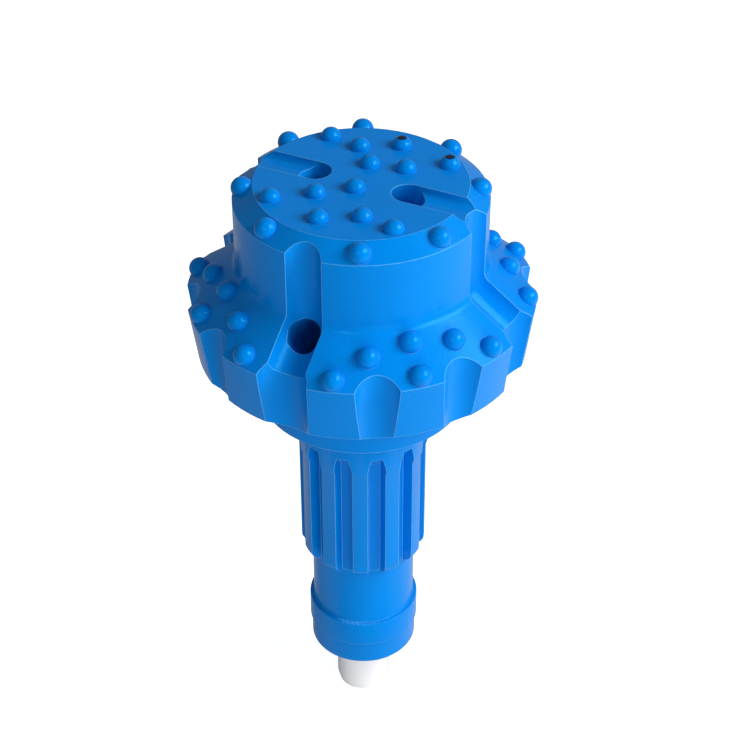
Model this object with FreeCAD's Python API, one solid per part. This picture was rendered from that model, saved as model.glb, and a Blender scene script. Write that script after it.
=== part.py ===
import FreeCAD, Part
import math
import os

# Two-stage button drill bit for a down-the-hole hammer.
# Frame: millimetres, +Z up towards the drilling face, origin at the centre of the foot
# valve's lower end. +X runs through one face slot, +Y through one side flushing hole.
# One forged and machined steel body carries pressed-in carbide buttons and a plastic foot valve.

# ---------------------------------------------------------------- foot valve
VALVE_R = 21.6                # outside of the tube that stands out
VALVE_WALL = 4.6
VALVE_PRESS_STEP = 0.6        # the pressed-in end, and its seat, are this much larger in radius
VALVE_ROOT_TAPER = 1.0        # length of the taper between the two
VALVE_STICK_OUT = 52.3        # length that stands out of the shank
VALVE_INSERT = 38.0           # length pressed into the shank
VALVE_NOSE_TAPER = 1.5        # radius lost at the rounded nose
VALVE_NOSE_LENGTH = 6.0
VALVE_BEAD_PROUD = 1.2        # snap bead that holds the tube in its groove
VALVE_BEAD_WIDTH = 5.0
VALVE_BEAD_DEPTH = 16.0       # from the striking end to the middle of the bead

# ---------------------------------------------------------------- shank
STRIKE_R = 41.8               # striking end
STRIKE_LENGTH = 21.0
STRIKE_CHAMFER = 1.6
GUIDE_R = 43.2                # guide collar that runs in the hammer's lower bushing
GUIDE_LENGTH = 22.5
GUIDE_STEP_BREAK = 0.5        # broken edge where the collar steps down to the striking end
GUIDE_ROUND = 1.4             # rounding of the collar's upper edge
NECK_R = 40.0                 # retaining-ring neck
NECK_LENGTH = 54.7
NECK_COVE = 1.3               # fillet between neck and collar
SPLINE_COUNT = 12
SPLINE_R = 48.5
SPLINE_ROOT_R = 40.3
SPLINE_FLOOR_WIDTH = 8.8      # groove between two splines, at its floor
SPLINE_FLANK_DEG = 17.5       # lean of the groove's side walls
SPLINE_STRAIGHT = 104.1       # from the splines' lower ends to where the cutter lifts out
SPLINE_HUB_OUT = 4.9          # hub of the run-out's disc cutter, outside the plain shank
SPLINE_PHASE_DEG = 8.4        # first groove, from +X
SHANK_PLAIN = 43.5            # from the start of the run-out to the head's shoulder
ROOT_R = 49.8                 # plain shank under the head
ROOT_TAPER = 3.0              # length of the small step from the splines up to it

# ---------------------------------------------------------------- reaming stage of the head
SHOULDER_R = 76.5             # flat ring that seats on the chuck
SHOULDER_FILLET = 4.0
COLLAR_HEIGHT = 20.6          # drum between the flat ring and the head's underside
COLLAR_FILLET = 4.0
REAMER_R = 126.0              # top edge of the reamer's wall
SKIRT_HEIGHT = 47.7           # the wall's lower edge above the flat ring
SKIRT_DRAFT = 5.7             # radius lost from the wall's top edge to its lower edge
REAMER_WALL = 43.0
REAMER_CONE_DEG = 36.0        # slope of the reamer's face
REAMER_FILLET = 9.0           # cove between reamer face and pilot barrel

# ---------------------------------------------------------------- pilot stage of the head
PILOT_R = 90.0
PILOT_HEIGHT = 78.4           # from the reamer's top edge to the bevel
BEVEL_WIDTH = 14.6            # radial width of the gauge bevel
BEVEL_DEG = 36.0

# ---------------------------------------------------------------- chip flutes
FLUTE_COUNT = 4
FLUTE_CUTTER_R = 14.6         # one round-nosed cutter makes the pilot groove and the sloped channel
PILOT_FLOOR_R = 80.0          # distance of the pilot groove's floor from the axis
CHANNEL_DEPTH = 12.8          # channel floor below the reamer face
RIM_FLUTE_R = 19.6            # cutter of the wide groove through the reamer's wall
RIM_FLUTE_FLOOR_R = 110.0
SCALLOP_R = 17.5              # cutter of the scallops between the reamer's buttons
SCALLOP_FLOOR_R = 115.5
SCALLOP_OFFSET_DEG = 14.3     # to each side of a sector's middle

# ---------------------------------------------------------------- flushing passages
BORE_R = 17.0
BORE_TOP_BELOW_FACE = 92.0
DRILL_POINT_DEG = 118.0
FACE_HOLE_R = 12.0
FACE_HOLE_AT = 36.8           # mouth's distance from the axis
FACE_HOLE_TILT_DEG = 20.0
FACE_SLOT_DEPTH = 5.6
FACE_SLOT_WIDTH = 23.6
FACE_SLOT_CORNER_R = 5.0      # rounding between the slot's walls and floor
SIDE_HOLE_R = 12.4
SIDE_HOLE_RISE_DEG = 40.0     # its axis climbs outwards at this angle
SIDE_HOLE_DROP = 15.5         # mouth's middle below the meeting of groove and channel

# ---------------------------------------------------------------- carbide buttons
GAUGE_BUTTON_R = 8.0
FACE_BUTTON_R = 7.5
SEAT_DEPTH = 17.0             # length of a button inside its drilled seat
BUTTON_FOOT_CHAMFER = 1.2
REAMER_GAUGE_INSET = 7.0      # from the reamer's edge, along the radius
REAMER_GAUGE_SPREAD_DEG = 28.65
REAMER_INNER_INSET = 20.6
REAMER_INNER_SPREAD_DEG = 17.05
REAMER_MIDDLE_INSET = 26.8
PILOT_GAUGE_SPREAD_DEG = 20.0
# Face buttons that repeat at half a turn: inset from the face's edge, angle from +X.
FACE_PAIRS = ((9.6, 45.0), (9.6, 135.0), (18.6, 85.0), (28.2, 116.7), (40.1, 53.0))
# The two that sweep the middle of the hole: distance from the axis, angle from +X.
FACE_CENTRES = ((23.7, 100.8), (10.3, -88.5))

CLEAR = 5.0                   # how far cutters run past the surfaces that they open

# ---------------------------------------------------------------- heights and radii worked out from these
Z_STRIKE = VALVE_STICK_OUT
Z_STEP = Z_STRIKE + STRIKE_LENGTH
Z_GUIDE = Z_STEP + GUIDE_LENGTH
Z_SPLINE = Z_GUIDE + NECK_LENGTH
Z_RUNOUT = Z_SPLINE + SPLINE_STRAIGHT
Z_SHOULDER = Z_RUNOUT + SHANK_PLAIN
Z_SKIRT = Z_SHOULDER + SKIRT_HEIGHT
Z_RIM = Z_SKIRT + REAMER_WALL
Z_BEVEL = Z_RIM + PILOT_HEIGHT
Z_FACE = Z_BEVEL + BEVEL_WIDTH * math.tan(math.radians(BEVEL_DEG))
VALVE_SEAT_R = VALVE_R + VALVE_PRESS_STEP
FACE_R = PILOT_R - BEVEL_WIDTH
SKIRT_R = REAMER_R - SKIRT_DRAFT
SPLINE_HUB_R = ROOT_R + SPLINE_HUB_OUT
SECTOR_DEG = 360.0 / FLUTE_COUNT
SECTORS = [SECTOR_DEG * (k + 0.5) for k in range(FLUTE_COUNT)]
FLUTES = [SECTOR_DEG * k for k in range(FLUTE_COUNT)]

ORIGIN = FreeCAD.Vector(0, 0, 0)
UP = FreeCAD.Vector(0, 0, 1)


def at(radius, z):
    """A point of the XZ half plane."""
    return FreeCAD.Vector(radius, 0, z)


def bend(start, centre, end):
    """The short arc from start to end about centre."""
    middle = (start + end) * 0.5 - centre
    middle.normalize()
    return Part.Arc(start, centre + middle * (start - centre).Length, end).toShape()


def solid_of(edges):
    """Revolves a closed outline in the XZ plane about the Z axis."""
    face = Part.Face(Part.Wire(edges))
    return face.revolve(ORIGIN, UP, 360.0)


def turned_profile(points):
    """Revolves a plain polygon of (radius, z) corners."""
    corners = [at(r, z) for r, z in points]
    return solid_of(Part.makePolygon(corners + corners[:1]).Edges)


def around(shape, degrees):
    """A copy of the shape turned about the Z axis."""
    copy = shape.copy()
    copy.rotate(ORIGIN, UP, degrees)
    return copy


def reamer_z(radius):
    """Height of the reamer's conical face at this radius."""
    return Z_RIM + (REAMER_R - radius) * math.tan(math.radians(REAMER_CONE_DEG))


def bevel_z(radius):
    """Height of the pilot's gauge bevel at this radius."""
    return Z_FACE - (radius - FACE_R) * math.tan(math.radians(BEVEL_DEG))


# ---------------------------------------------------------------- the turned blank

def lead_in_edges():
    """Neck, and the quarter round that leads into the splines."""
    rise = SPLINE_R - NECK_R
    low = at(NECK_R, Z_SPLINE)
    centre = at(NECK_R, Z_SPLINE + rise)
    high = at(SPLINE_R, Z_SPLINE + rise)
    return [bend(low, centre, high)], low, high


def barrel_cove():
    """Cove where the reamer's cone runs into the pilot barrel: its two ends and its centre."""
    slope = math.radians(REAMER_CONE_DEG)
    corner_z = reamer_z(PILOT_R)
    reach = REAMER_FILLET * math.tan((math.pi / 2 - slope) / 2)
    on_cone = at(PILOT_R + reach * math.cos(slope), corner_z - reach * math.sin(slope))
    on_barrel = at(PILOT_R, corner_z + reach)
    centre = at(PILOT_R + REAMER_FILLET, corner_z + reach)
    return on_cone, centre, on_barrel


def collar_cove():
    """Cove between the collar under the head and the head's shallow conical underside."""
    corner_z = Z_SHOULDER + COLLAR_HEIGHT
    slope = math.atan2(Z_SKIRT - corner_z, SKIRT_R - SHOULDER_R)
    reach = COLLAR_FILLET * math.tan((math.pi / 2 - slope) / 2)
    on_collar = at(SHOULDER_R, corner_z - reach)
    on_under = at(SHOULDER_R + reach * math.cos(slope), corner_z + reach * math.sin(slope))
    centre = at(SHOULDER_R + COLLAR_FILLET, corner_z - reach)
    return on_collar, centre, on_under


def turned_blank():
    """Shank and head as they leave the lathe."""
    edges = []

    def line(a, b):
        edges.append(Part.LineSegment(a, b).toShape())

    def chain(points):
        for a, b in zip(points, points[1:]):
            line(a, b)

    collar_low = at(GUIDE_R, Z_GUIDE - GUIDE_ROUND)
    collar_high = at(GUIDE_R - GUIDE_ROUND, Z_GUIDE)
    cove_low = at(NECK_R + NECK_COVE, Z_GUIDE)
    cove_high = at(NECK_R, Z_GUIDE + NECK_COVE)
    chain([
        at(0, Z_STRIKE),
        at(STRIKE_R - STRIKE_CHAMFER, Z_STRIKE),
        at(STRIKE_R, Z_STRIKE + STRIKE_CHAMFER),
        at(STRIKE_R, Z_STEP),
        at(GUIDE_R - GUIDE_STEP_BREAK, Z_STEP),
        at(GUIDE_R, Z_STEP + GUIDE_STEP_BREAK),
        collar_low,
    ])
    edges.append(bend(collar_low, at(GUIDE_R - GUIDE_ROUND, Z_GUIDE - GUIDE_ROUND), collar_high))
    line(collar_high, cove_low)
    edges.append(bend(cove_low, at(NECK_R + NECK_COVE, Z_GUIDE + NECK_COVE), cove_high))
    lead, lead_low, lead_high = lead_in_edges()
    line(cove_high, lead_low)
    edges.extend(lead)
    root_low = at(ROOT_R, Z_SHOULDER - SHOULDER_FILLET)
    root_high = at(ROOT_R + SHOULDER_FILLET, Z_SHOULDER)
    chain([lead_high, at(SPLINE_R, Z_RUNOUT - ROOT_TAPER), at(ROOT_R, Z_RUNOUT), root_low])
    edges.append(bend(root_low, at(ROOT_R + SHOULDER_FILLET, Z_SHOULDER - SHOULDER_FILLET), root_high))
    drum_high, drum_centre, under_low = collar_cove()
    on_cone, centre, on_barrel = barrel_cove()
    chain([root_high, at(SHOULDER_R, Z_SHOULDER), drum_high])
    edges.append(bend(drum_high, drum_centre, under_low))
    chain([
        under_low,
        at(SKIRT_R, Z_SKIRT),
        at(REAMER_R, Z_RIM),
        on_cone,
    ])
    edges.append(bend(on_cone, centre, on_barrel))
    chain([
        on_barrel,
        at(PILOT_R, Z_BEVEL),
        at(FACE_R, Z_FACE),
        at(0, Z_FACE),
        at(0, Z_STRIKE),
    ])
    return solid_of(edges)


# ---------------------------------------------------------------- cutters

def spline_groove():
    """One groove at +X: a straight run, and the disc cutter's run-out at its top."""
    top_r = ROOT_R + 1.0
    floor_half = SPLINE_FLOOR_WIDTH / 2
    top_half = floor_half + (top_r - SPLINE_ROOT_R) * math.tan(math.radians(SPLINE_FLANK_DEG))
    section = Part.Face(Part.makePolygon([
        FreeCAD.Vector(SPLINE_ROOT_R, -floor_half, Z_RUNOUT),
        FreeCAD.Vector(top_r, -top_half, Z_RUNOUT),
        FreeCAD.Vector(top_r, top_half, Z_RUNOUT),
        FreeCAD.Vector(SPLINE_ROOT_R, floor_half, Z_RUNOUT),
        FreeCAD.Vector(SPLINE_ROOT_R, -floor_half, Z_RUNOUT),
    ]))
    straight = section.extrude(FreeCAD.Vector(0, 0, Z_SPLINE - Z_RUNOUT - CLEAR))
    hub = FreeCAD.Vector(SPLINE_HUB_R, 0, Z_RUNOUT)
    run_out = section.revolve(hub, FreeCAD.Vector(0, 1, 0), 89.0)
    return straight.fuse(run_out)


def flute():
    """Pilot groove, sloped channel and rim groove at +X, as one cutter path."""
    slope = math.radians(REAMER_CONE_DEG)
    groove_at = PILOT_FLOOR_R + FLUTE_CUTTER_R
    lift = (FLUTE_CUTTER_R - CHANNEL_DEPTH) / math.cos(slope)
    corner = at(groove_at, reamer_z(groove_at) + lift)
    groove = Part.makeCylinder(FLUTE_CUTTER_R, Z_FACE + CLEAR - corner.z, corner, UP)
    nose = Part.makeSphere(FLUTE_CUTTER_R, corner)
    outwards = FreeCAD.Vector(math.cos(slope), 0, -math.sin(slope))
    run = (REAMER_R - groove_at) / math.cos(slope) + FLUTE_CUTTER_R
    channel = Part.makeCylinder(FLUTE_CUTTER_R, run, corner, outwards)
    rim = Part.makeCylinder(
        RIM_FLUTE_R, Z_FACE - Z_SHOULDER, at(RIM_FLUTE_FLOOR_R + RIM_FLUTE_R, Z_SHOULDER), UP)
    return [groove.fuse([nose, channel]), rim]


def scallop():
    """Round cut through the reamer's wall at +X."""
    foot = at(SCALLOP_FLOOR_R + SCALLOP_R, Z_SHOULDER)
    return Part.makeCylinder(SCALLOP_R, Z_FACE - Z_SHOULDER, foot, UP)


def face_hole():
    """Flushing hole from the face down to the central bore, at +X."""
    tilt = math.radians(FACE_HOLE_TILT_DEG)
    upwards = FreeCAD.Vector(math.sin(tilt), 0, math.cos(tilt))
    mouth = at(FACE_HOLE_AT, Z_FACE)
    length = FACE_HOLE_AT / math.sin(tilt)
    foot = mouth - upwards * length
    return Part.makeCylinder(FACE_HOLE_R, length + 2 * CLEAR, foot, upwards)


def face_slot():
    """Shallow chip slot from the flushing hole to the pilot's edge, at +X."""
    half = FACE_SLOT_WIDTH / 2
    floor_z = Z_FACE - FACE_SLOT_DEPTH
    top_z = Z_FACE + CLEAR
    rounding = FACE_SLOT_CORNER_R

    def corner(y, z):
        return FreeCAD.Vector(FACE_HOLE_AT, y, z)

    def side(sign):
        wall = corner(sign * half, floor_z + rounding)
        floor = corner(sign * (half - rounding), floor_z)
        centre = corner(sign * (half - rounding), floor_z + rounding)
        return wall, bend(wall, centre, floor), floor

    left_wall, left_round, left_floor = side(-1)
    right_wall, right_round, right_floor = side(1)
    section = Part.Face(Part.Wire([
        Part.LineSegment(corner(-half, top_z), left_wall).toShape(),
        left_round,
        Part.LineSegment(left_floor, right_floor).toShape(),
        right_round,
        Part.LineSegment(right_wall, corner(half, top_z)).toShape(),
        Part.LineSegment(corner(half, top_z), corner(-half, top_z)).toShape(),
    ]))
    return section.extrude(FreeCAD.Vector(PILOT_R - FACE_HOLE_AT, 0, 0))


def side_hole():
    """Flushing hole from the foot of a pilot groove down to the central bore, at +X."""
    rise = math.radians(SIDE_HOLE_RISE_DEG)
    outwards = FreeCAD.Vector(math.cos(rise), 0, math.sin(rise))
    mouth = at(PILOT_FLOOR_R, reamer_z(PILOT_FLOOR_R + FLUTE_CUTTER_R) - SIDE_HOLE_DROP)
    length = PILOT_FLOOR_R / math.cos(rise)
    foot = mouth - outwards * length
    return Part.makeCylinder(SIDE_HOLE_R, length + FLUTE_CUTTER_R, foot, outwards)


def bead_outline():
    """The snap bead on the foot valve, and the groove that it fills, from low to high."""
    low = Z_STRIKE + VALVE_BEAD_DEPTH - VALVE_BEAD_WIDTH / 2
    high = low + VALVE_BEAD_WIDTH
    crest = VALVE_SEAT_R + VALVE_BEAD_PROUD
    return [
        (VALVE_SEAT_R, low),
        (crest, low + VALVE_BEAD_PROUD),
        (crest, high - VALVE_BEAD_PROUD),
        (VALVE_SEAT_R, high),
    ]


def central_bore():
    """Air bore with its drill point, and the foot valve's seat with the bead's groove."""
    top = Z_FACE - BORE_TOP_BELOW_FACE
    point = BORE_R / math.tan(math.radians(DRILL_POINT_DEG / 2))
    seat_top = Z_STRIKE + VALVE_INSERT
    return turned_profile([
        (0, Z_STRIKE - CLEAR),
        (VALVE_SEAT_R, Z_STRIKE - CLEAR),
        *bead_outline(),
        (VALVE_SEAT_R, seat_top),
        (BORE_R, seat_top),
        (BORE_R, top),
        (0, top + point),
    ])


# ---------------------------------------------------------------- buttons and their seats

def button(radius):
    """Ballistic carbide button, its dome's centre at the origin and its dome up."""
    foot = -SEAT_DEPTH
    c = BUTTON_FOOT_CHAMFER
    outline = [at(0, foot), at(radius - c, foot), at(radius, foot + c), at(radius, 0)]
    edges = [Part.LineSegment(a, b).toShape() for a, b in zip(outline, outline[1:])]
    edges.append(bend(at(radius, 0), ORIGIN, at(0, radius)))
    edges.append(Part.LineSegment(at(0, radius), at(0, foot)).toShape())
    return solid_of(edges)


def seat(radius):
    """The drilled hole of a button, run past the surface that it opens."""
    return Part.makeCylinder(radius, SEAT_DEPTH + CLEAR, at(0, -SEAT_DEPTH), UP)


def place(shape, radius, z, lean_deg, angle_deg):
    """Sets a shape made on the Z axis at a radius and height, leaning outwards, then turns it."""
    copy = shape.copy()
    copy.rotate(ORIGIN, FreeCAD.Vector(0, 1, 0), lean_deg)
    copy.translate(at(radius, z))
    copy.rotate(ORIGIN, UP, angle_deg)
    return copy


def button_rows():
    """Every button's name, radius and place, as (name, button radius, (radius, z, lean, angle))."""
    rows = []
    gauge_r = REAMER_R - REAMER_GAUGE_INSET
    inner_r = REAMER_R - REAMER_INNER_INSET
    middle_r = REAMER_R - REAMER_MIDDLE_INSET
    pilot_r = PILOT_R - BEVEL_WIDTH / 2
    reamer_gauge = []
    reamer_inner = []
    pilot_gauge = []
    face = []
    for sector in SECTORS:
        for spread in (-REAMER_GAUGE_SPREAD_DEG, 0.0, REAMER_GAUGE_SPREAD_DEG):
            reamer_gauge.append((gauge_r, reamer_z(gauge_r), REAMER_CONE_DEG, sector + spread))
        for spread in (-REAMER_INNER_SPREAD_DEG, REAMER_INNER_SPREAD_DEG):
            reamer_inner.append((inner_r, reamer_z(inner_r), REAMER_CONE_DEG, sector + spread))
        reamer_inner.append((middle_r, reamer_z(middle_r), REAMER_CONE_DEG, sector))
        for spread in (-PILOT_GAUGE_SPREAD_DEG, PILOT_GAUGE_SPREAD_DEG):
            pilot_gauge.append((pilot_r, bevel_z(pilot_r), BEVEL_DEG, sector + spread))
    for half_turn in (0.0, 180.0):
        for inset, angle in FACE_PAIRS:
            face.append((FACE_R - inset, Z_FACE, 0.0, angle + half_turn))
    for radius, angle in FACE_CENTRES:
        face.append((radius, Z_FACE, 0.0, angle))
    for name, radius, spots in (
        ("reamer_gauge_button", GAUGE_BUTTON_R, reamer_gauge),
        ("reamer_inner_button", GAUGE_BUTTON_R, reamer_inner),
        ("pilot_gauge_button", GAUGE_BUTTON_R, pilot_gauge),
        ("face_button", FACE_BUTTON_R, face),
    ):
        for number, spot in enumerate(spots, 1):
            rows.append(("%s_%02d" % (name, number), radius, spot))
    return rows


# ---------------------------------------------------------------- the pieces

def bit_body(rows):
    """Turned blank with its splines, flutes, scallops, passages and button seats cut."""
    cutters = [central_bore()]
    groove = spline_groove()
    for k in range(SPLINE_COUNT):
        cutters.append(around(groove, SPLINE_PHASE_DEG + k * 360.0 / SPLINE_COUNT))
    for number, angle in enumerate(FLUTES):
        cutters.extend(around(cutter, angle) for cutter in flute())
        if number % 2 == 0:
            cutters.append(around(face_hole(), angle))
            cutters.append(around(face_slot(), angle))
        else:
            cutters.append(around(side_hole(), angle))
    for sector in SECTORS:
        for side in (-SCALLOP_OFFSET_DEG, SCALLOP_OFFSET_DEG):
            cutters.append(around(scallop(), sector + side))
    for _, radius, spot in rows:
        cutters.append(place(seat(radius), *spot))
    return turned_blank().cut(cutters)


def foot_valve():
    """Plastic tube with a tapered nose, pressed into its seat and held there by a snap bead."""
    top = Z_STRIKE + VALVE_INSERT
    inner = VALVE_R - VALVE_WALL
    return turned_profile([
        (inner, 0),
        (VALVE_R - VALVE_NOSE_TAPER, 0),
        (VALVE_R, VALVE_NOSE_LENGTH),
        (VALVE_R, Z_STRIKE - VALVE_ROOT_TAPER),
        (VALVE_SEAT_R, Z_STRIKE),
        *bead_outline(),
        (VALVE_SEAT_R, top),
        (inner, top),
    ])


def main():
    os.makedirs("parts", exist_ok=True)
    rows = button_rows()
    pieces = {"bit_body": bit_body(rows), "foot_valve": foot_valve()}
    for name, radius, spot in rows:
        pieces[name] = place(button(radius), *spot)
    for name, shape in pieces.items():
        shape.exportStep("parts/%s.step" % name)
        print(name, len(shape.Solids), shape.isValid(), round(shape.Volume, 1))


main()
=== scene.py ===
from math import cos, radians, sin

import bpy
from bpy.props import FloatProperty, FloatVectorProperty, PointerProperty
from bpy.types import Operator, Panel, PropertyGroup
from mathutils import Matrix, Vector


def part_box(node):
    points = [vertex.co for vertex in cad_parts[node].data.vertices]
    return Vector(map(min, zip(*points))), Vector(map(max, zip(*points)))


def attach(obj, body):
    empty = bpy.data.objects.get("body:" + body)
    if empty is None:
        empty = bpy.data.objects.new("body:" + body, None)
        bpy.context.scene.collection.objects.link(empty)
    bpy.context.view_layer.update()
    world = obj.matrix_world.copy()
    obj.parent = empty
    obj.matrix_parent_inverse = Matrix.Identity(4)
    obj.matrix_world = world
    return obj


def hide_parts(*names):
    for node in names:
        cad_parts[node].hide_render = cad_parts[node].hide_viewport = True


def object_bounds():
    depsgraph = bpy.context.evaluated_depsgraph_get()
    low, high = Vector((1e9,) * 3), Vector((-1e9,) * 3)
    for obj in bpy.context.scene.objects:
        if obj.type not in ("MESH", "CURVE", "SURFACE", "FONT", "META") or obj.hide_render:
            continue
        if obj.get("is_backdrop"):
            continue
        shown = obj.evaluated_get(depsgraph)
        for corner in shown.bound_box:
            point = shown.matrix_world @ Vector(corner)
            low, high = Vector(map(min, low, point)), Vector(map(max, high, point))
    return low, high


bl_info = {
    "name": "Button Drill Bit",
    "version": (1, 0, 0),
    "blender": (4, 5, 0),
    "location": "View3D > Sidebar > Drill Bit",
    "description": "Paint, carbide buttons, plastic foot valve and studio for a stepped button drill bit",
    "category": "Object",
}

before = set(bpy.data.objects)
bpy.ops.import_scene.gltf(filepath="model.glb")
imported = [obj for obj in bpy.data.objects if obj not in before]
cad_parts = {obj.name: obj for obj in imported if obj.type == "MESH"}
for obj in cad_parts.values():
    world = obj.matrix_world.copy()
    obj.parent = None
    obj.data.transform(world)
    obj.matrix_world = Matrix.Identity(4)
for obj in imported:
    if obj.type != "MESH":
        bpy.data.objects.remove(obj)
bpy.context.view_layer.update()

BODY = "bit_body"
VALVE = "foot_valve"
BUTTON_GROUPS = ("reamer_gauge_button", "reamer_inner_button", "pilot_gauge_button", "face_button")
CHIPPED_BUTTONS = ("face_button_01", "face_button_03")

BODY_SMOOTH_ANGLE = radians(32.0)
BUTTON_SMOOTH_ANGLE = radians(40.0)
JOIN_DISTANCE = 2e-6


def buttons_of(group):
    """The CAD nodes of one group of buttons, in order."""
    return sorted(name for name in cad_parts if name.startswith(group))


# ---------------------------------------------------------------- what a user may change

class BitPaint(PropertyGroup):
    body_colour: FloatVectorProperty(
        name="Body colour", description="Sprayed blue enamel on the steel body",
        subtype="COLOR", size=3, min=0.0, max=1.0, default=(0.0, 0.215, 0.70))
    button_colour: FloatVectorProperty(
        name="Button colour", description="The same enamel over polished carbide, where it lies thinner",
        subtype="COLOR", size=3, min=0.0, max=1.0, default=(0.0, 0.205, 0.68))
    # Painted highlight: a lighter blue mixed in along the machined edges, where light catches their
    # rounding.
    edge_highlight_colour: FloatVectorProperty(
        name="Edge colour", description="Enamel drawn thin along the machined edges",
        subtype="COLOR", size=3, min=0.0, max=1.0, default=(0.2, 0.58, 0.95))
    edge_radius: FloatProperty(
        name="Edge radius", description="How far the enamel rounds the machined edges",
        subtype="DISTANCE", unit="LENGTH", default=0.0009)
    peel_height: FloatProperty(
        name="Orange peel", description="Height of the enamel's ripple",
        subtype="DISTANCE", unit="LENGTH", default=0.00012)


class BitValve(PropertyGroup):
    plastic_colour: FloatVectorProperty(
        name="Plastic colour", description="Natural white of the moulded foot valve",
        subtype="COLOR", size=3, min=0.0, max=1.0, default=(0.93, 0.93, 0.93))


class BitStudio(PropertyGroup):
    key_power: FloatProperty(
        name="Key light", description="Power of the large softbox at the right",
        subtype="POWER", unit="POWER", default=28.0)
    fill_power: FloatProperty(
        name="Fill light", description="Power of the small softbox beside the camera",
        subtype="POWER", unit="POWER", default=2.5)
    bounce_power: FloatProperty(
        name="Bounce panel", description="Power of the low white panel before the bit",
        subtype="POWER", unit="POWER", default=11.0)
    sky: FloatProperty(
        name="Sky", description="Brightness of the even light from all round", default=0.24)


# ---------------------------------------------------------------- shader nodes

class Link:
    """One output of a material's nodes. Arithmetic on it adds the Math nodes."""

    def __init__(self, nodes, socket):
        self.nodes = nodes
        self.socket = socket

    def maths(self, operation, first, second=0.0):
        return self.nodes.add("ShaderNodeMath", {"operation": operation}, {0: first, 1: second})

    def __add__(self, other):
        return self.maths("ADD", self, other)

    def __radd__(self, other):
        return self.maths("ADD", other, self)

    def __sub__(self, other):
        return self.maths("SUBTRACT", self, other)

    def __rsub__(self, other):
        return self.maths("SUBTRACT", other, self)

    def __mul__(self, other):
        return self.maths("MULTIPLY", self, other)

    def __rmul__(self, other):
        return self.maths("MULTIPLY", other, self)

    def __lt__(self, other):
        return self.maths("LESS_THAN", self, other)

    def __gt__(self, other):
        return self.maths("GREATER_THAN", self, other)


class Nodes:
    """The nodes of one material or world."""

    def __init__(self, owner):
        owner.use_nodes = True
        self.tree = owner.node_tree
        self.tree.nodes.clear()

    def add(self, kind, settings=None, sockets=None, out=0):
        """Adds a node, sets it up, feeds its sockets and gives the output asked for."""
        node = self.tree.nodes.new(kind)
        for name, value in (settings or {}).items():
            if name == "stops":
                self.set_stops(node.color_ramp, value)
            else:
                setattr(node, name, value)
        for name, value in (sockets or {}).items():
            self.feed(node.inputs[name], value)
        return Link(self, node.outputs[out]) if node.outputs else node

    def set_stops(self, ramp, stops):
        while len(ramp.elements) < len(stops):
            ramp.elements.new(1.0)
        for element, (position, level) in zip(ramp.elements, stops):
            element.position = position
            element.color = (level, level, level, 1.0)

    def feed(self, socket, value):
        if isinstance(value, Link):
            self.tree.links.new(value.socket, socket)
        elif hasattr(value, "__len__") and len(value) == 3 and socket.type == "RGBA":
            socket.default_value = (*value, 1.0)
        else:
            socket.default_value = value

    def place(self):
        return self.add("ShaderNodeTexCoord", out="Object")

    def noise(self, scale, detail=2.0, roughness=0.5):
        return self.add(
            "ShaderNodeTexNoise", None,
            {"Vector": self.place(), "Scale": scale, "Detail": detail, "Roughness": roughness})

    def ramp(self, value, stops):
        return self.add("ShaderNodeValToRGB", {"stops": stops}, {"Fac": value})

    def mix(self, factor, first, second):
        """Blends two colours."""
        return self.add(
            "ShaderNodeMix", {"data_type": "RGBA"}, {0: factor, 6: first, 7: second}, out=2)

    def finish(self, **sockets):
        """A Principled surface with these sockets, as the material's output."""
        names = {key: key.replace("_", " ") for key in sockets}
        shader = self.add(
            "ShaderNodeBsdfPrincipled", None, {names[key]: value for key, value in sockets.items()})
        self.add("ShaderNodeOutputMaterial", None, {"Surface": shader})


def new_nodes(name):
    material = bpy.data.materials.new(name)
    return material, Nodes(material)


def scaled(colour, factor):
    return [min(1.0, part * factor) for part in colour]


# ---------------------------------------------------------------- finishes

BODY_ROUGHNESS = 0.24
BODY_RIPPLE = 0.8
BUTTON_ROUGHNESS = 0.14
BUTTON_RIPPLE = 0.12
ENAMEL_SPECULAR = 0.25
ENAMEL_TINT = (0.1, 0.75, 1.0)
# How the painted edge highlight fades in from the edges, and how strongly it is mixed in.
EDGE_HIGHLIGHT_STOPS = [(0.006, 0.0), (0.09, 1.0)]
EDGE_HIGHLIGHT_STRENGTH = 0.7
TONE_CHANGE = 0.06
TONE_SCALE = 14.0
SHEEN_CHANGE = 0.08
SHEEN_SCALE = 90.0
PEEL_FINE_SCALE = 620.0
PEEL_COARSE_SCALE = 230.0
PEEL_COARSE_SHARE = 0.8

SPECK_COLOUR = (0.75, 0.85, 0.95)
SPECK_SCALE = 48.0
SPECK_SIZE = 0.03
SPECK_CHANCE = 0.28

CHIP_COLOUR = (0.012, 0.018, 0.05)
CHIP_REACH = 0.0036
CHIP_RAGGEDNESS = 0.5
CHIP_SCALE = 420.0
CHIP_ROUGHENING = 0.25

PLASTIC_CHANGE = 0.03
PLASTIC_ROUGHNESS = 0.38
PLASTIC_GLOW_DEPTH = (0.004, 0.004, 0.004)
TURNING_MARK_SCALE = 260.0
TURNING_MARK_HEIGHT = 0.00005

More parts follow.
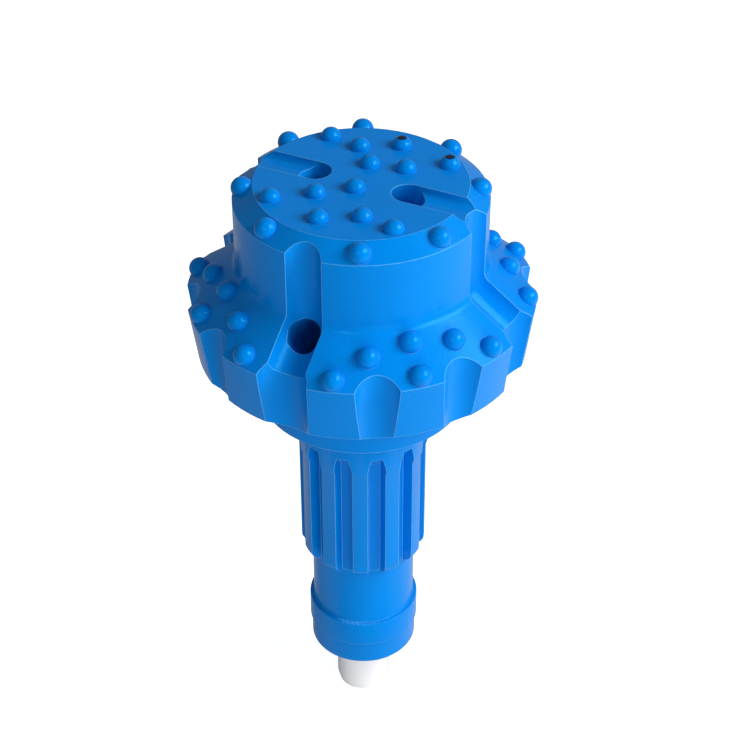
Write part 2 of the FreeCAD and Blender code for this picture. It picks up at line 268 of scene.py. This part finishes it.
def enamel(name, colour, roughness, ripple, worn=()):
    """Sprayed enamel: round edges with a painted highlight along them, orange peel, slow changes of tone,
    dust specks and chips.
    """
    paint = bpy.context.scene.bit_paint
    material, n = new_nodes(name)
    rounded = n.add("ShaderNodeBevel", {"samples": 6}, {"Radius": paint.edge_radius})
    flat = n.add("ShaderNodeNewGeometry", out="Normal")
    facing = n.add("ShaderNodeVectorMath", {"operation": "DOT_PRODUCT"}, {0: rounded, 1: flat}, out="Value")
    # Painted highlight along the edges: where the rounded normal leans away from the flat one, the colour
    # is mixed towards the lighter highlight colour.
    edge_highlight = n.ramp(1 - facing, EDGE_HIGHLIGHT_STOPS)
    tone = n.noise(TONE_SCALE, 3.0)
    shade = n.mix(tone, scaled(colour, 1.0 - TONE_CHANGE), scaled(colour, 1.0 + TONE_CHANGE))
    shade = n.mix(edge_highlight * EDGE_HIGHLIGHT_STRENGTH, shade, list(paint.edge_highlight_colour))
    shade = n.mix(dust_specks(n), shade, SPECK_COLOUR)
    sheen = roughness + SHEEN_CHANGE * (n.noise(SHEEN_SCALE, 2.0) - 0.5)
    for top in worn:
        chip = paint_chip(n, top)
        shade = n.mix(chip, shade, CHIP_COLOUR)
        sheen = sheen + CHIP_ROUGHENING * chip
    peel = n.noise(PEEL_FINE_SCALE, 1.0) + PEEL_COARSE_SHARE * n.noise(PEEL_COARSE_SCALE, 1.0)
    surface = n.add(
        "ShaderNodeBump", None,
        {"Strength": ripple, "Distance": paint.peel_height, "Height": peel, "Normal": rounded})
    n.finish(
        Base_Color=shade, Roughness=sheen, Specular_IOR_Level=ENAMEL_SPECULAR,
        Specular_Tint=ENAMEL_TINT, Normal=surface)
    return material


def dust_specks(n):
    """Tiny pale specks caught in the enamel, thinly scattered. Only some of the cells have one."""
    away, colour = (
        n.add(
            "ShaderNodeTexVoronoi", {"feature": "F1"},
            {"Vector": n.place(), "Scale": SPECK_SCALE, "Randomness": 1.0}, out=wanted)
        for wanted in ("Distance", "Color"))
    chosen = n.add("ShaderNodeSeparateColor", None, {"Color": colour}) > 1.0 - SPECK_CHANCE
    return (away < SPECK_SIZE) * chosen


def paint_chip(n, top):
    """A ragged patch round this point where the enamel has flaked off the carbide."""
    away = n.add("ShaderNodeVectorMath", {"operation": "DISTANCE"}, {0: n.place(), 1: top}, out="Value")
    ragged = away + CHIP_RAGGEDNESS * CHIP_REACH * (n.noise(CHIP_SCALE, 2.0) - 0.5)
    return ragged < CHIP_REACH


def moulded_plastic():
    """Natural nylon: a little waxy, with faint turning marks round the tube."""
    colour = list(bpy.context.scene.bit_valve.plastic_colour)
    material, n = new_nodes("valve_plastic")
    shade = n.mix(
        n.noise(30.0, 3.0), scaled(colour, 1.0 - PLASTIC_CHANGE), scaled(colour, 1.0 + PLASTIC_CHANGE))
    marks = n.add(
        "ShaderNodeTexWave", {"wave_type": "BANDS", "bands_direction": "Z"},
        {"Vector": n.place(), "Scale": TURNING_MARK_SCALE, "Distortion": 1.5, "Detail": 2.0})
    surface = n.add(
        "ShaderNodeBump", None,
        {"Strength": 0.25, "Distance": TURNING_MARK_HEIGHT, "Height": marks})
    sheen = PLASTIC_ROUGHNESS + 0.1 * (n.noise(120.0, 2.0) - 0.5)
    n.finish(
        Base_Color=shade, Roughness=sheen, Specular_IOR_Level=0.5, Subsurface_Weight=0.15,
        Subsurface_Radius=PLASTIC_GLOW_DEPTH, Subsurface_Scale=1.0, Normal=surface)
    return material


# ---------------------------------------------------------------- pieces

def select_only(piece):
    bpy.ops.object.select_all(action="DESELECT")
    piece.select_set(True)
    bpy.context.view_layer.objects.active = piece


def smooth_copy(node, name, angle):
    """A copy of a CAD node with its loose triangles joined and its round stretches shaded smooth."""
    piece = bpy.data.objects.new(name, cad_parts[node].data.copy())
    bpy.context.scene.collection.objects.link(piece)
    select_only(piece)
    bpy.ops.mesh.customdata_custom_splitnormals_clear()
    bpy.ops.object.mode_set(mode="EDIT")
    bpy.ops.mesh.select_all(action="SELECT")
    bpy.ops.mesh.remove_doubles(threshold=JOIN_DISTANCE)
    bpy.ops.object.mode_set(mode="OBJECT")
    bpy.ops.object.shade_smooth_by_angle(angle=angle)
    return piece


def dress(piece, node, material):
    """Gives a piece its finish, and has it stand for its CAD node."""
    piece.data.materials.clear()
    piece.data.materials.append(material)
    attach(piece, "root")
    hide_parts(node)


class BIT_OT_body(Operator):
    """Finishes the one-piece steel body in blue enamel"""

    bl_idname = "bit.body"
    bl_label = "Painted Body"

    def execute(self, context):
        colour = list(context.scene.bit_paint.body_colour)
        material = enamel("body_enamel", colour, BODY_ROUGHNESS, BODY_RIPPLE)
        body = smooth_copy(BODY, "painted_body", BODY_SMOOTH_ANGLE)
        dress(body, BODY, material)
        return {"FINISHED"}


class BIT_OT_buttons(Operator):
    """Finishes the pressed-in carbide buttons, two of them with flaked enamel on top"""

    bl_idname = "bit.buttons"
    bl_label = "Carbide Buttons"

    def execute(self, context):
        colour = list(context.scene.bit_paint.button_colour)
        plain = enamel("button_enamel", colour, BUTTON_ROUGHNESS, BUTTON_RIPPLE)
        worn = []
        for node in CHIPPED_BUTTONS:
            low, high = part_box(node)
            worn.append(Vector(((low.x + high.x) / 2, (low.y + high.y) / 2, high.z)))
        chipped = enamel("chipped_button_enamel", colour, BUTTON_ROUGHNESS, BUTTON_RIPPLE, worn)
        for group in BUTTON_GROUPS:
            for node in buttons_of(group):
                button = smooth_copy(node, "painted_" + node, BUTTON_SMOOTH_ANGLE)
                material = chipped if node in CHIPPED_BUTTONS else plain
                dress(button, node, material)
        return {"FINISHED"}


class BIT_OT_valve(Operator):
    """Finishes the plastic foot valve"""

    bl_idname = "bit.valve"
    bl_label = "Foot Valve"

    def execute(self, context):
        valve = smooth_copy(VALVE, "moulded_foot_valve", BODY_SMOOTH_ANGLE)
        dress(valve, VALVE, moulded_plastic())
        return {"FINISHED"}


# ---------------------------------------------------------------- stage

CAMERA_AZIMUTH = radians(25.993)
CAMERA_ELEVATION = radians(31.008)
CAMERA_DISTANCE = 1.3078
CAMERA_AIM = Vector((0.0, 0.0, 0.4727))
CAMERA_PAN = 0.0068
CAMERA_TILT = -0.0993
CAMERA_ROLL = 0.0049
CAMERA_LENS = 90.19
SENSOR_WIDTH = 36.0

# Each lamp's direction as right, up and back of the camera, then its width and height.
KEY_SOFTBOX = ((0.80, 0.35, 0.50), 1.1, 0.8)
FILL_SOFTBOX = ((-0.2, 0.0, 0.98), 0.35, 0.35)
BOUNCE_PANEL = ((0.35, -0.55, 0.75), 1.3, 0.9)
LAMP_DISTANCE = 1.6

FLOOR_SIZE = 14.0
FLOOR_GREY = (0.8, 0.8, 0.8)
FLOOR_GLOW = 0.75
WHITE = (1.0, 1.0, 1.0)


def camera_axes():
    """Right, up and back of the camera, before it is panned, tilted and rolled."""
    a, e = CAMERA_AZIMUTH, CAMERA_ELEVATION
    right = Vector((cos(a), sin(a), 0.0))
    back = Vector((sin(a) * cos(e), -cos(a) * cos(e), sin(e)))
    return right, back.cross(right), back


def turned(first, second, angle):
    """Two perpendicular directions turned together in their plane."""
    return first * cos(angle) - second * sin(angle), first * sin(angle) + second * cos(angle)


def add_camera():
    right, up, back = camera_axes()
    spot = CAMERA_AIM + back * CAMERA_DISTANCE
    right, ahead = turned(right, -back, CAMERA_PAN)
    up, ahead = turned(up, ahead, CAMERA_TILT)
    right, up = turned(right, up, CAMERA_ROLL)
    data = bpy.data.cameras.new("camera")
    data.sensor_width = SENSOR_WIDTH
    data.lens = CAMERA_LENS
    camera = bpy.data.objects.new("camera", data)
    bpy.context.scene.collection.objects.link(camera)
    camera.matrix_world = Matrix.Translation(spot) @ Matrix((right, up, -ahead)).transposed().to_4x4()
    bpy.context.scene.camera = camera


def add_softbox(name, direction, width, height, power):
    """A rectangular lamp that faces a point near the middle of the pilot's face."""
    right, up, back = camera_axes()
    towards = (right * direction[0] + up * direction[1] + back * direction[2]).normalized()
    data = bpy.data.lights.new(name, "AREA")
    data.shape = "RECTANGLE"
    data.size = width
    data.size_y = height
    data.energy = power
    lamp = bpy.data.objects.new(name, data)
    bpy.context.scene.collection.objects.link(lamp)
    lamp.location = CAMERA_AIM + towards * LAMP_DISTANCE
    lamp.rotation_euler = towards.to_track_quat("Z", "Y").to_euler()
    return lamp


def pale_floor():
    """Matt floor that the camera sees as white outside the shadows."""
    material, n = new_nodes("pale_floor")
    seen = n.add("ShaderNodeLightPath", out="Is Camera Ray")
    cloth = n.add("ShaderNodeBsdfDiffuse", None, {"Color": FLOOR_GREY})
    glow = n.add("ShaderNodeEmission", None, {"Color": WHITE, "Strength": seen * FLOOR_GLOW})
    both = n.add("ShaderNodeAddShader", None, {0: cloth, 1: glow})
    n.add("ShaderNodeOutputMaterial", None, {"Surface": both})
    return material


def add_floor():
    low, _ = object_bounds()
    bpy.ops.object.select_all(action="DESELECT")
    bpy.ops.mesh.primitive_plane_add(size=FLOOR_SIZE, location=(0.0, 0.0, low[2]))
    floor = bpy.context.active_object
    floor.name = "studio_floor"
    bpy.ops.object.transform_apply(location=True, rotation=True, scale=True)
    floor.data.materials.append(pale_floor())
    floor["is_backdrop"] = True


def add_sky(strength):
    """Even light from all round, seen by the camera as white."""
    world = bpy.data.worlds.new("studio_sky")
    bpy.context.scene.world = world
    n = Nodes(world)
    seen = n.add("ShaderNodeLightPath", out="Is Camera Ray")
    sky = n.add(
        "ShaderNodeBackground", None,
        {"Color": WHITE, "Strength": strength + (1.0 - strength) * seen})
    n.add("ShaderNodeOutputWorld", None, {"Surface": sky})


class BIT_OT_stage(Operator):
    """Adds the pale floor, the soft lights and the camera"""

    bl_idname = "bit.stage"
    bl_label = "Studio"

    def execute(self, context):
        studio = context.scene.bit_studio
        add_floor()
        add_sky(studio.sky)
        add_softbox("key_softbox", *KEY_SOFTBOX, studio.key_power)
        add_softbox("fill_softbox", *FILL_SOFTBOX, studio.fill_power)
        panel = add_softbox("bounce_panel", *BOUNCE_PANEL, studio.bounce_power)
        panel.visible_glossy = False
        add_camera()
        context.scene.view_settings.view_transform = "Standard"
        return {"FINISHED"}


class BIT_PT_panel(Panel):
    """Lists the steps in the 3D view's sidebar"""

    bl_idname = "BIT_PT_panel"
    bl_label = "Button Drill Bit"
    bl_space_type = "VIEW_3D"
    bl_region_type = "UI"
    bl_category = "Drill Bit"

    def draw(self, context):
        scene = context.scene
        for step in STEPS:
            self.layout.operator(step.bl_idname)
        for group in (scene.bit_paint, scene.bit_valve, scene.bit_studio):
            for name in group.bl_rna.properties.keys():
                if name not in ("rna_type", "name"):
                    self.layout.prop(group, name)


STEPS = (BIT_OT_body, BIT_OT_buttons, BIT_OT_valve, BIT_OT_stage)
CLASSES = (BitPaint, BitValve, BitStudio, *STEPS, BIT_PT_panel)


def register():
    for cls in CLASSES:
        bpy.utils.register_class(cls)
    bpy.types.Scene.bit_paint = PointerProperty(type=BitPaint)
    bpy.types.Scene.bit_valve = PointerProperty(type=BitValve)
    bpy.types.Scene.bit_studio = PointerProperty(type=BitStudio)


def unregister():
    del bpy.types.Scene.bit_paint
    del bpy.types.Scene.bit_valve
    del bpy.types.Scene.bit_studio
    for cls in reversed(CLASSES):
        bpy.utils.unregister_class(cls)


def main():
    register()
    bpy.ops.bit.body()
    bpy.ops.bit.buttons()
    bpy.ops.bit.valve()
    bpy.ops.bit.stage()


if __name__ == "__main__":
    main()
